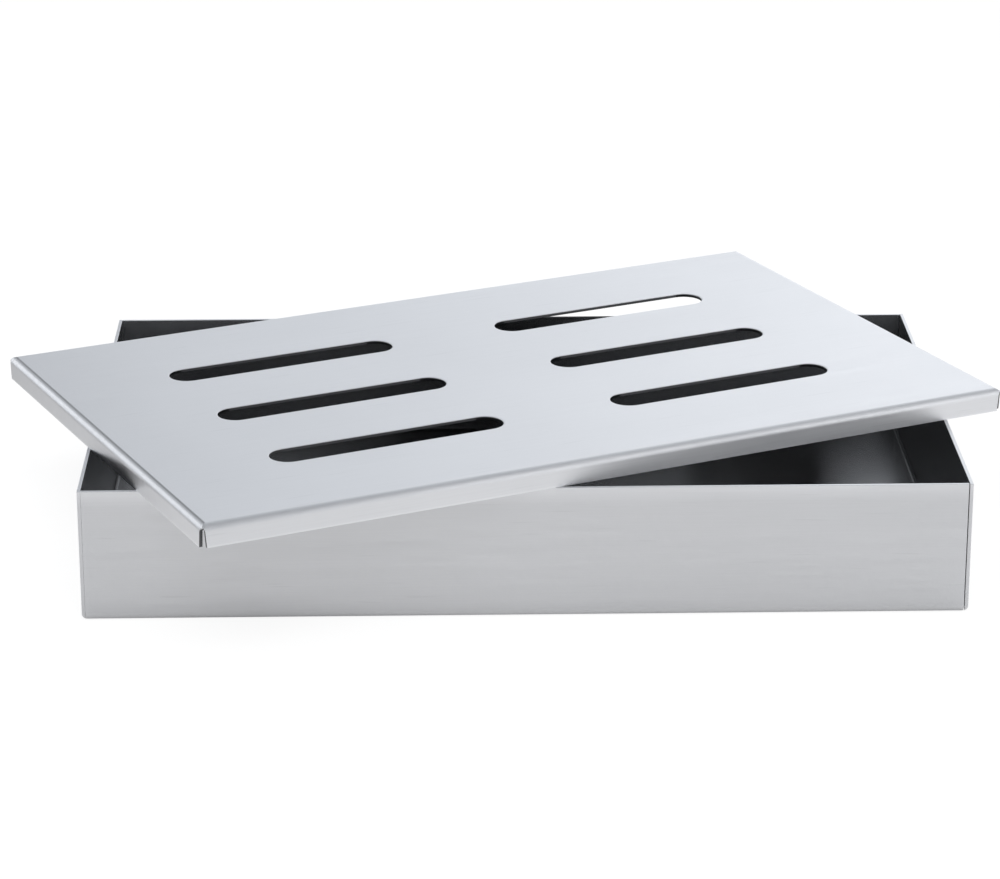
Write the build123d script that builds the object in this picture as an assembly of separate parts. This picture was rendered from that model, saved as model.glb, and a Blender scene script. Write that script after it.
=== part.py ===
from build123d import *
import os

# Smoker box: a tray and a drop-over lid, each folded from one sheet of stainless steel.
# Millimetres. X runs along the tray, Y across it and Z up, from the middle of the tray's underside.

# Sheet and folds, the same on both pieces
sheet = 0.8
fold_inside_radius = 1.0

# Tray: its long walls butt between its short ones, with a hairline seam at each upright corner.
# The seam at the front right corner has sprung a little wider than the others.
tray_length = 210.0
tray_width = 130.0
tray_height = 32.6
seam_gap = 0.05
sprung_seam_gap = 0.25
seam_root_diameter = 1.2

# Lid: it drops over the tray's rim, and its flanges stop short of each other at the corners
lid_clearance = 0.6
lid_depth = 5.6
notch_at_foot = 1.4
notch_root_radius = 1.05

# Smoke slots in the lid
slot_length = 60.4
slot_width = 9.2
slot_columns = 2
slot_rows = 3
slot_column_pitch = 90.6
slot_row_pitch = 32.5
slot_edge_round = 0.25

# How the lid lies askew on the tray's rim, turned about Z
lid_turn_degrees = 24.7
lid_shift_along = -4.9
lid_shift_across = 2.7

# How far a cut runs past the metal that it cuts
cut_overrun = 1.0

# Sizes that follow from those above
fold_outside_radius = fold_inside_radius + sheet
lid_length = tray_length + 2 * (lid_clearance + sheet)
lid_width = tray_width + 2 * (lid_clearance + sheet)


def rounded_block(length, width, height, radius):
    """A block that stands on Z = 0 with its four bottom edges rounded."""
    block = Box(length, width, height, align=(Align.CENTER, Align.CENTER, Align.MIN))
    return fillet(block.edges().group_by(Axis.Z)[0], radius)


def folded_pan(length, width, depth):
    """An open pan of one sheet: a floor on Z = 0, and four walls folded up from it."""
    outside = rounded_block(length, width, depth, fold_outside_radius)
    inside = rounded_block(length - 2 * sheet, width - 2 * sheet, depth, fold_inside_radius)
    return outside - Pos(0, 0, sheet) * inside


def to_both_ends(cut):
    """A cut at one end, and its mirror image at the other."""
    return cut + mirror(cut, about=Plane.YZ)


def to_the_back(cut):
    """A cut at the front, carried over to the back."""
    return mirror(cut, about=Plane.XZ)


def corner_seam(gap):
    """The seam at the front left corner, with its round root where the floor starts to fold."""
    seam_x = -tray_length / 2 + sheet + gap / 2
    root_y = -tray_width / 2 + fold_outside_radius
    slit = Box(
        gap,
        fold_outside_radius + cut_overrun,
        tray_height + 2 * cut_overrun,
        align=(Align.CENTER, Align.MAX, Align.MIN),
    )
    root = Cylinder(
        seam_root_diameter / 2,
        fold_outside_radius + cut_overrun,
        align=(Align.CENTER, Align.CENTER, Align.MIN),
    )
    return Pos(seam_x, root_y, -cut_overrun) * (slit + root)


def corner_notch():
    """What the lid's blank lacks at one corner: both flanges end short of it, square to their run."""
    fold_start = lid_depth - fold_outside_radius
    root_top = fold_start + notch_root_radius
    flange_end = Polyline(
        (-cut_overrun, root_top),
        (-cut_overrun, -cut_overrun),
        (notch_at_foot, -cut_overrun),
        (notch_at_foot, 0),
        (notch_root_radius, fold_start),
    )
    root = CenterArc((0, fold_start), notch_root_radius, 0, 90)
    top = Line((0, root_top), (-cut_overrun, root_top))
    profile = make_face(flange_end + root + top)
    reach = notch_at_foot + cut_overrun
    past_long_flange = extrude(Plane.XZ * profile, reach, both=True)
    past_short_flange = extrude(Plane.YZ * profile, reach, both=True)
    return Pos(-lid_length / 2, -lid_width / 2, 0) * (past_long_flange & past_short_flange)


def smoke_slots():
    """The round-ended slots, cut down through the lid's top."""
    pattern = GridLocations(slot_column_pitch, slot_row_pitch, slot_columns, slot_rows)
    outlines = Sketch() + pattern * SlotOverall(slot_length, slot_width)
    return Pos(0, 0, lid_depth + cut_overrun) * extrude(outlines, -(sheet + 2 * cut_overrun))


def tray():
    """The open tray, at rest on its floor."""
    tight_seam = corner_seam(seam_gap)
    sprung_seam = mirror(corner_seam(sprung_seam_gap), about=Plane.YZ)
    seams = tight_seam + sprung_seam + to_the_back(to_both_ends(tight_seam))
    return folded_pan(tray_length, tray_width, tray_height) - seams


def lid():
    """The lid by itself, square to the axes, with the feet of its flanges on Z = 0."""
    pan = Pos(0, 0, lid_depth) * Rot(180, 0, 0) * folded_pan(lid_length, lid_width, lid_depth)
    front_notches = to_both_ends(corner_notch())
    cut_lid = pan - smoke_slots() - front_notches - to_the_back(front_notches)
    top = cut_lid.faces().sort_by(Axis.Z)[-1]
    slot_edges = [edge for wire in top.inner_wires() for edge in wire.edges()]
    return fillet(slot_edges, slot_edge_round)


lid_place = Pos(lid_shift_along, lid_shift_across, tray_height) * Rot(0, 0, lid_turn_degrees)
nodes = {"tray": tray(), "lid": lid_place * lid()}

os.makedirs("parts", exist_ok=True)
for name, piece in nodes.items():
    export_step(piece, f"parts/{name}.step")
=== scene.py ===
import math

import bpy
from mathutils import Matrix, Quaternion, Vector


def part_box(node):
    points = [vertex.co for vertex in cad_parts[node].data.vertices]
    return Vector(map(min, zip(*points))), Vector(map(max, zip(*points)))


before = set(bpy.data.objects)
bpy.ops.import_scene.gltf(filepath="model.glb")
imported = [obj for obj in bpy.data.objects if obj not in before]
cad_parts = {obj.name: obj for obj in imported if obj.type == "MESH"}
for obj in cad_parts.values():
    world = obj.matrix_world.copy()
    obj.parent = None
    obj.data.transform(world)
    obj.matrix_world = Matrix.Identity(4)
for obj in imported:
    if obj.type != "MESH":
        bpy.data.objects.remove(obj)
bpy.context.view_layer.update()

# Sizes of the two pieces in metres, and how far the lid lies turned on the rim
sheet = 0.0008
lid_clearance = 0.0006
lid_turn = math.radians(24.7)
tray_low, tray_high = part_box("tray")
tray_length, tray_width, tray_height = tray_high - tray_low
lid_low, lid_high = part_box("lid")
lid_centre = (lid_low + lid_high) / 2
lid_length = tray_length + 2 * (lid_clearance + sheet)
lid_width = tray_width + 2 * (lid_clearance + sheet)
lid_depth = lid_high.z - lid_low.z

# Camera, fitted to the corners of the tray, the lid and the slots in the photograph
camera_azimuth = math.radians(-1.28)
camera_elevation = math.radians(19.89)
camera_roll = math.radians(-0.05)
camera_distance = 0.9024
camera_aim = Vector((-0.0047, 0.0, 0.0212))
camera_lens_mm = 128.9
camera_sensor_mm = 36.0

# Steel: its colour, and how strongly its reflections spread across the grain
steel_colour = (0.671, 0.673, 0.687, 1.0)
spread_share = 0.95

# Marks in the steel: noise with so many waves in a metre along the grain and across it
hairline_noise = {"along": 45.0, "across": 2400.0, "detail": 3.0, "roughness": 0.6}
streak_noise = {"along": 9.0, "across": 420.0, "detail": 2.0, "roughness": 0.5}
cloud_noise = {"along": 14.0, "across": 14.0, "detail": 2.0, "roughness": 0.5}
scratch_noise = {"along": 70.0, "across": 1600.0, "detail": 0.0, "roughness": 0.5}
inside_marks_share = 0.1
hairline_bump_share = 0.02
hairline_height = 0.0002

# Levels of that noise: its middle, the range that most of it lies in, and where scratches start and are full
noise_middle = 0.5
noise_low = 0.3
noise_high = 0.7
scratch_starts = 0.74
scratch_full = 0.82

# How much lighter each mark or place makes the steel, or darker where the share is negative
hairline_tone_share = 0.02
streak_tone_share = 0.010
cloud_tone_share = 0.015
scratch_tone_share = -0.05
edge_tone_share = 0.15
# A painted highlight band below the tray's rim and above the lower edge of the lid's flange
highlight_band_tone_share = 0.12

# The tone that painted shade leaves inside the tray, inside the lid and on sheared faces
tray_inside_shaded_tone_share = 0.60
lid_inside_shaded_tone_share = 0.25
sheared_shaded_tone_share = 0.22

# How much of the painted shade and the dullness of sheared faces each piece gets
tray_sheared_shade_and_dullness_share = 0.0
lid_sheared_shade_and_dullness_share = 1.0

# Roughness of the brushed steel, and what each mark or place adds to it
brushed_roughness = 0.36
hairline_roughness = 0.03
streak_roughness = 0.012
inside_roughness = -0.10
edge_roughness = -0.08
sheared_roughness = 0.20

# Heights of the painted highlight bands: below the tray's rim, and above the lower edge of the lid's flange
rim_highlight_starts = 0.004
rim_highlight_full = 0.001
flange_highlight_starts = 0.0006

# Depths behind the outer faces: short of the inner face, past a flange's cut end, and short of any slot
inner_face_share = 0.95
cut_end_depth = 1.02 * sheet
slot_margin = 4 * sheet

# The normal of an upright face has a smaller cosine than this with the Z axis
upright_cosine = 0.5

# The normal of a cut end has a larger cosine than this with the axis that it faces along
cut_end_cosine = 0.85

# Edges: their round, and the cosines of rounded with true normals where burnishing starts and is full
edge_radius = 0.2 * sheet
edge_samples = 6
burnish_starts_cosine = 0.97
burnish_full_cosine = 0.80

# A trace of the grain's own direction, for faces that look straight across the grain
grain_trace_share = 0.001

# Floor: white, with a faint shadow of the object, and dimmer in reflections towards the back left
white = (1.0, 1.0, 1.0, 1.0)
floor_colour = (0.9, 0.9, 0.9, 1.0)
floor_half = 8.0
floor_drop = 0.0001
shadow_seen_share = 0.12
shadow_mirrored_share = 0.3
contact_shade_reach = 0.014
contact_shade_samples = 8
front_right = (0.7, -0.7, 0.0)
floor_dimmest_at = -0.20
floor_dimmest_share = 0.42

# Studio: its levels by how far up a direction points, and at the back by how far to the right it points
studio_colour = (0.96, 1.0, 1.05, 1.0)
levels_by_height = ((0.0, 0.92), (0.35, 0.94), (0.60, 0.74), (0.86, 0.54), (1.0, 0.28))
levels_by_side = (
    (-0.50, 1.24),
    (-0.18, 0.35),
    (-0.17, 0.35),
    (-0.07, 1.45),
    (0.10, 1.55),
    (0.25, 1.75),
    (0.50, 0.75),
)
front_level = 0.75
front_ends = -0.3
back_starts = 0.2
camera_patch_starts_cosine = 0.90
camera_patch_share = 0.35

# Soft boxes: degrees round from the back to the right, degrees up, metres, and radiance
soft_boxes = {
    "back_right": dict(azimuth=30.0, elevation=22.0, distance=3.0, width=2.6, height=2.0, radiance=0.45),
    "front_right": dict(azimuth=120.0, elevation=26.0, distance=3.0, width=1.25, height=0.8, radiance=2.1),
    "back_left": dict(azimuth=-46.0, elevation=12.0, distance=3.0, width=0.9, height=1.4, radiance=1.6),
}

# Soft boxes that light the floor and don't show in the steel
floor_soft_boxes = {
    "floor": dict(azimuth=0.0, elevation=90.0, distance=2.8, width=3.0, height=3.0, radiance=0.5),
    "front_floor": dict(azimuth=180.0, elevation=50.0, distance=3.0, width=2.4, height=1.6, radiance=8.0),
}


class Graph:
    """The node tree of a material or a world, with short ways to add nodes and wire them together."""

    def __init__(self, owner):
        """Starts with an empty tree."""
        owner.use_nodes = True
        self.tree = owner.node_tree
        self.tree.nodes.clear()

    def node(self, kind, inputs=None, **settings):
        """A node with its settings, and its inputs either set to a value or wired to an output."""
        made = self.tree.nodes.new("ShaderNode" + kind)
        for name, value in settings.items():
            setattr(made, name, value)
        for name, value in (inputs or {}).items():
            self.feed(made.inputs[name], value)
        return made

    def feed(self, socket, value):
        """Wires an output to a socket, or sets the socket to a plain value."""
        if isinstance(value, bpy.types.NodeSocket):
            self.tree.links.new(value, socket)
        else:
            socket.default_value = value

    def show(self, output, shader):
        """Makes a shader the look of the tree's owner."""
        self.node(output, {"Surface": shader})

    def mix(self, share, first, second):
        """Two shaders mixed, by the second one's share."""
        return self.node("MixShader", {0: share, 1: first, 2: second}).outputs["Shader"]

    def math(self, operation, *values):
        """One scalar operation."""
        made = self.node("Math", dict(enumerate(values)), operation=operation)
        return made.outputs["Value"]

    def total(self, *values):
        """Several values added up."""
        result = values[0]
        for value in values[1:]:
            result = self.math("ADD", result, value)
        return result

    def product(self, *values):
        """Several values multiplied. Of masks, this is one where all of them are one."""
        result = values[0]
        for value in values[1:]:
            result = self.math("MULTIPLY", result, value)
        return result

    def largest(self, *values):
        """The largest of several values. Of masks, this is one where any of them is one."""
        result = values[0]
        for value in values[1:]:
            result = self.math("MAXIMUM", result, value)
        return result

    def above(self, value, limit):
        """One where a value is above a limit."""
        return self.math("GREATER_THAN", value, limit)

    def below(self, value, limit):
        """One where a value is below a limit."""
        return self.math("LESS_THAN", value, limit)

    def blend(self, first, second, share):
        """A value that goes from the first to the second as the share goes from none to all."""
        return self.math("MULTIPLY_ADD", self.math("SUBTRACT", second, first), share, first)

    def ramp(self, value, low, high, to_low, to_high):
        """A value carried over from one range to another, held inside it."""
        inputs = {"Value": value, "From Min": low, "From Max": high, "To Min": to_low, "To Max": to_high}
        return self.node("MapRange", inputs).outputs["Result"]

    def swing(self, noise, amount):
        """Noise turned into a change of up to this amount either way."""
        return self.ramp(noise, noise_low, noise_high, -amount, amount)

    def fade(self, mask, share):
        """One off the mask, and this share on it."""
        return self.ramp(mask, 0.0, 1.0, 1.0, share)

    def levels(self, value, stops):
        """A level that runs straight between (value, level) stops, and is held past the ends."""
        low = stops[0][0]
        high = stops[-1][0]
        made = self.node("ValToRGB", {"Fac": self.ramp(value, low, high, 0.0, 1.0)})
        elements = made.color_ramp.elements
        for place, _ in stops[1:-1]:
            elements.new((place - low) / (high - low))
        for element, (_, level) in zip(elements, stops):
            element.color = (level, level, level, 1.0)
        return made.outputs["Color"]

    def vector(self, operation, *values):
        """One vector operation, with a vector result."""
        made = self.node("VectorMath", dict(enumerate(values)), operation=operation)
        return made.outputs["Vector"]

    def dot(self, first, second):
        """The dot product of two vectors."""
        made = self.node("VectorMath", {0: first, 1: second}, operation="DOT_PRODUCT")
        return made.outputs["Value"]

    def split(self, vector):
        """The parts of a vector, by axis."""
        return self.node("SeparateXYZ", {"Vector": vector}).outputs

    def marks(self, place, along, across, detail, roughness):
        """Noise around a half, stretched along the grain."""
        waves = self.vector("MULTIPLY", place, (along, across, across))
        inputs = {"Vector": waves, "Scale": 1.0, "Detail": detail, "Roughness": roughness}
        return self.node("TexNoise", inputs).outputs["Fac"]


class SheetPlace:
    """Where a point of a folded piece lies in its own axes: X along the grain, Y across it, Z up."""

    def __init__(self, g, centre, turn, length, width):
        """Works out the place, the cosines of the normal with the axes, and the depths behind the walls."""
        coordinates = g.node("TexCoord").outputs
        turned_place = g.node(
            "Mapping",
            {"Vector": coordinates["Object"], "Location": centre, "Rotation": (0.0, 0.0, turn)},
            vector_type="TEXTURE",
        )
        turned_normal = g.node(
            "VectorRotate",
            {"Vector": coordinates["Normal"], "Angle": -turn},
            rotation_type="Z_AXIS",
        )
        place = g.split(turned_place.outputs["Vector"])
        normal = g.split(turned_normal.outputs["Vector"])
        self.along = place["X"]
        self.across = place["Y"]
        self.height = place["Z"]
        self.end_on = g.math("ABSOLUTE", normal["X"])
        self.side_on = g.math("ABSOLUTE", normal["Y"])
        self.flat_on = g.math("ABSOLUTE", normal["Z"])
        self.behind_end = g.math("SUBTRACT", length / 2, g.math("ABSOLUTE", self.along))
        self.behind_side = g.math("SUBTRACT", width / 2, g.math("ABSOLUTE", self.across))


def inside_mask(g, spot, panel_height):
    """One on the faces that look into the box."""
    past_panel = g.above if panel_height > 0 else g.below
    return g.product(
        g.above(spot.behind_end, inner_face_share * sheet),
        g.above(spot.behind_side, inner_face_share * sheet),
        past_panel(spot.height, inner_face_share * panel_height),
    )


def sheared_mask(g, spot):
    """One on the walls of the slots and on the cut ends of the flanges."""
    slot_wall = g.product(
        g.below(spot.flat_on, upright_cosine),
        g.above(spot.behind_end, slot_margin),
        g.above(spot.behind_side, slot_margin),
    )
    end_cut = g.product(g.above(spot.side_on, cut_end_cosine), g.below(spot.behind_end, cut_end_depth))
    side_cut = g.product(g.above(spot.end_on, cut_end_cosine), g.below(spot.behind_side, cut_end_depth))
    return g.largest(slot_wall, end_cut, side_cut)


def place_on_blank(g, spot):
    """The place on the blank before folding: walls folded from its ends carry the grain round the fold."""
    along = g.math("ADD", spot.along, spot.height)
    up = g.product(spot.height, g.math("SUBTRACT", 1.0, spot.end_on))
    return g.node("CombineXYZ", {"X": along, "Y": spot.across, "Z": up}).outputs["Vector"]


def spread_direction(g, true_normal, turn):
    """The direction across the grain on any face, which reflections spread along."""
    across_axis = (-math.sin(turn), math.cos(turn), 0.0)
    along_axis = (math.cos(turn), math.sin(turn), 0.0)
    grain = g.vector("CROSS_PRODUCT", across_axis, true_normal)
    grain = g.vector("ADD", grain, tuple(grain_trace_share * part for part in along_axis))
    return g.vector("NORMALIZE", g.vector("CROSS_PRODUCT", true_normal, grain))


def brushed_steel(
    name, centre, turn, length, width, panel_height, inside_shaded_tone_share, sheared_shade_and_dullness_share, highlight_starts, highlight_full
):
    """Satin stainless sheet, brushed along the blank on its outer face before it was folded.

    The panel's height is that of the inner face of the piece's flat panel, and is negative where the inside
    lies below that panel. Between the heights highlight_starts and highlight_full a painted highlight makes
    the steel lighter and lighter.
    """
    material = bpy.data.materials.new(name)
    g = Graph(material)
    spot = SheetPlace(g, centre, turn, length, width)
    # Sheared faces get painted shade as well as more roughness
    sheared = g.product(sheared_mask(g, spot), sheared_shade_and_dullness_share)

    # The inside keeps the mill's finish, with hardly any brushing, and painted shade darkens it
    inside = inside_mask(g, spot, panel_height)
    brushed = g.fade(inside, inside_marks_share)
    blank = place_on_blank(g, spot)
    hairlines = g.blend(noise_middle, g.marks(blank, **hairline_noise), brushed)
    streaks = g.blend(noise_middle, g.marks(blank, **streak_noise), brushed)
    clouds = g.marks(blank, **cloud_noise)
    scratches = g.ramp(g.marks(blank, **scratch_noise), scratch_starts, scratch_full, 0.0, 1.0)

    # Edges are burnished by handling: there the rounded normal leaves the true one
    true_normal = g.node("NewGeometry").outputs["Normal"]
    rounded = g.node("Bevel", {"Radius": edge_radius}, samples=edge_samples).outputs["Normal"]
    edge = g.ramp(g.dot(rounded, true_normal), burnish_starts_cosine, burnish_full_cosine, 0.0, 1.0)

    tone = g.total(
        1.0,
        g.swing(hairlines, hairline_tone_share),
        g.swing(streaks, streak_tone_share),
        g.swing(clouds, cloud_tone_share),
        g.product(scratches, brushed, scratch_tone_share),
        g.product(edge, edge_tone_share),
        # The painted highlight band
        g.ramp(spot.height, highlight_starts, highlight_full, 0.0, highlight_band_tone_share),
    )
    # Painted shade darkens the inside and the sheared faces
    tone = g.product(tone, g.fade(inside, inside_shaded_tone_share), g.fade(sheared, sheared_shaded_tone_share))
    roughness = g.total(
        brushed_roughness,
        g.swing(hairlines, hairline_roughness),
        g.swing(streaks, streak_roughness),
        g.product(inside, inside_roughness),
        g.product(edge, edge_roughness),
        g.product(sheared, sheared_roughness),
    )
    bumps = {
        "Height": hairlines,
        "Strength": hairline_bump_share,
        "Distance": hairline_height,
        "Normal": rounded,
    }
    look = {
        "Base Color": g.node("HueSaturation", {"Color": steel_colour, "Value": tone}).outputs["Color"],
        "Metallic": 1.0,
        "Roughness": roughness,
        "Normal": g.node("Bump", bumps).outputs["Normal"],
        "Anisotropic": spread_share,
        "Tangent": spread_direction(g, true_normal, turn),
    }
    g.show("OutputMaterial", g.node("BsdfPrincipled", look).outputs["BSDF"])
    return material


def dress(node, material):
    """Gives a CAD node its finish."""
    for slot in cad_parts[node].material_slots:
        slot.material = material


def dress_tray():
    """The tray's steel, with its own axes at the middle of its underside."""
    steel = brushed_steel(
        "tray_brushed_steel",
        centre=(0.0, 0.0, 0.0),
        turn=0.0,
        length=tray_length,
        width=tray_width,
        panel_height=sheet,
        inside_shaded_tone_share=tray_inside_shaded_tone_share,
        sheared_shade_and_dullness_share=tray_sheared_shade_and_dullness_share,
        highlight_starts=tray_height - rim_highlight_starts,
        highlight_full=tray_height - rim_highlight_full,
    )
    dress("tray", steel)


def dress_lid():
    """The lid's steel, with its own axes at the middle of its top face."""
    steel = brushed_steel(
        "lid_brushed_steel",
        centre=(lid_centre.x, lid_centre.y, lid_high.z),
        turn=lid_turn,
        length=lid_length,
        width=lid_width,
        panel_height=-sheet,
        inside_shaded_tone_share=lid_inside_shaded_tone_share,
        sheared_shade_and_dullness_share=lid_sheared_shade_and_dullness_share,
        highlight_starts=flange_highlight_starts - lid_depth,
        highlight_full=-lid_depth,
    )
    dress("lid", steel)


def floor_material():
    """White to the camera and in reflections, with a share of plain paint that takes the shadow."""
    material = bpy.data.materials.new("white_floor")
    g = Graph(material)
    rays = g.node("LightPath").outputs
    seen = g.product(rays["Is Camera Ray"], 1.0 - shadow_seen_share)
    mirrored = g.largest(rays["Is Glossy Ray"], rays["Is Transmission Ray"])
    mirrored = g.product(mirrored, 1.0 - shadow_mirrored_share)

    # In reflections the floor's glow has a painted shadow where the tray stands on it, and is darker towards
    # the back left
    shade = {"Distance": contact_shade_reach}
    open_share = g.node("AmbientOcclusion", shade, samples=contact_shade_samples).outputs["AO"]
    toward_front_right = g.dot(g.node("NewGeometry").outputs["Position"], front_right)
    dimming = g.ramp(toward_front_right, floor_dimmest_at, 0.0, floor_dimmest_share, 1.0)
    strength = g.largest(rays["Is Camera Ray"], g.product(open_share, dimming))
    glow = g.node("Emission", {"Color": white, "Strength": strength}).outputs["Emission"]
    paint = g.node("BsdfDiffuse", {"Color": floor_colour}).outputs["BSDF"]
    g.show("OutputMaterial", g.mix(g.largest(seen, mirrored), paint, glow))
    return material


def white_floor():
    """A plain floor that lies just under the tray."""
    signs = ((-1, -1), (1, -1), (1, 1), (-1, 1))
    corners = [(x * floor_half, y * floor_half, -floor_drop) for x, y in signs]
    mesh = bpy.data.meshes.new("floor")
    mesh.from_pydata(corners, [], [(0, 1, 2, 3)])
    mesh.materials.append(floor_material())
    floor = bpy.data.objects.new("floor", mesh)
    bpy.context.scene.collection.objects.link(floor)


def toward(azimuth, elevation):
    """The direction from the object at an azimuth, counted from its back to its right, and an elevation."""
    level = math.cos(elevation)
    return Vector((math.sin(azimuth) * level, math.cos(azimuth) * level, math.sin(elevation)))


def toward_camera():
    """The direction from the object to the photograph's camera, whose azimuth is counted from the front."""
    return toward(math.pi - camera_azimuth, camera_elevation)


def soft_box(name, azimuth, elevation, distance, width, height, radiance):
    """A rectangular lamp of even radiance that faces the object and isn't seen by the camera."""
    out = toward(math.radians(azimuth), math.radians(elevation))
    lamp = bpy.data.lights.new(name, "AREA")
    lamp.shape = "RECTANGLE"
    lamp.size = width
    lamp.size_y = height
    lamp.energy = radiance * math.pi * width * height
    box = bpy.data.objects.new(name, lamp)
    box.location = camera_aim + out * distance
    box.rotation_euler = (-out).to_track_quat("-Z", "Y").to_euler()
    box.visible_camera = False
    bpy.context.scene.collection.objects.link(box)
    return box


def studio_lamps():
    """All the soft boxes."""
    for place, values in soft_boxes.items():
        soft_box(place + "_soft_box", **values)
    for place, values in floor_soft_boxes.items():
        box = soft_box(place + "_soft_box", **values)
        box.visible_glossy = False


def studio_world():
    """A pale studio, dimmer overhead, in front, far right, in a band at the back left and round the camera.

    To the camera itself it is white.
    """
    world = bpy.data.worlds.new("studio")
    bpy.context.scene.world = world
    g = Graph(world)
    direction = g.node("TexCoord").outputs["Generated"]
    points = g.split(direction)
    by_height = g.levels(points["Z"], levels_by_height)
    at_back = g.ramp(points["Y"], front_ends, back_starts, 0.0, 1.0)
    by_side = g.blend(front_level, g.levels(points["X"], levels_by_side), at_back)
    nearness = g.dot(direction, tuple(toward_camera()))
    camera_patch = g.ramp(nearness, camera_patch_starts_cosine, 1.0, 1.0, camera_patch_share)
    strength = g.product(by_height, camera_patch, by_side)
    walls = g.node("Background", {"Color": studio_colour, "Strength": strength}).outputs["Background"]
    backdrop = g.node("Background", {"Color": white, "Strength": 1.0}).outputs["Background"]
    g.show("OutputWorld", g.mix(g.node("LightPath").outputs["Is Camera Ray"], walls, backdrop))


def photo_camera():
    """The camera at the photograph's viewing angle."""
    back = toward_camera()
    lens = bpy.data.cameras.new("photo_camera")
    lens.sensor_width = camera_sensor_mm
    lens.lens = camera_lens_mm
    camera = bpy.data.objects.new("photo_camera", lens)
    camera.location = camera_aim + back * camera_distance
    camera.rotation_mode = "QUATERNION"
    level = (-back).to_track_quat("-Z", "Y")
    camera.rotation_quaternion = Quaternion(back, camera_roll) @ level
    bpy.context.scene.collection.objects.link(camera)
    bpy.context.scene.camera = camera


dress_tray()
dress_lid()
white_floor()
studio_world()
studio_lamps()
photo_camera()
bpy.context.scene.view_settings.view_transform = "Standard"
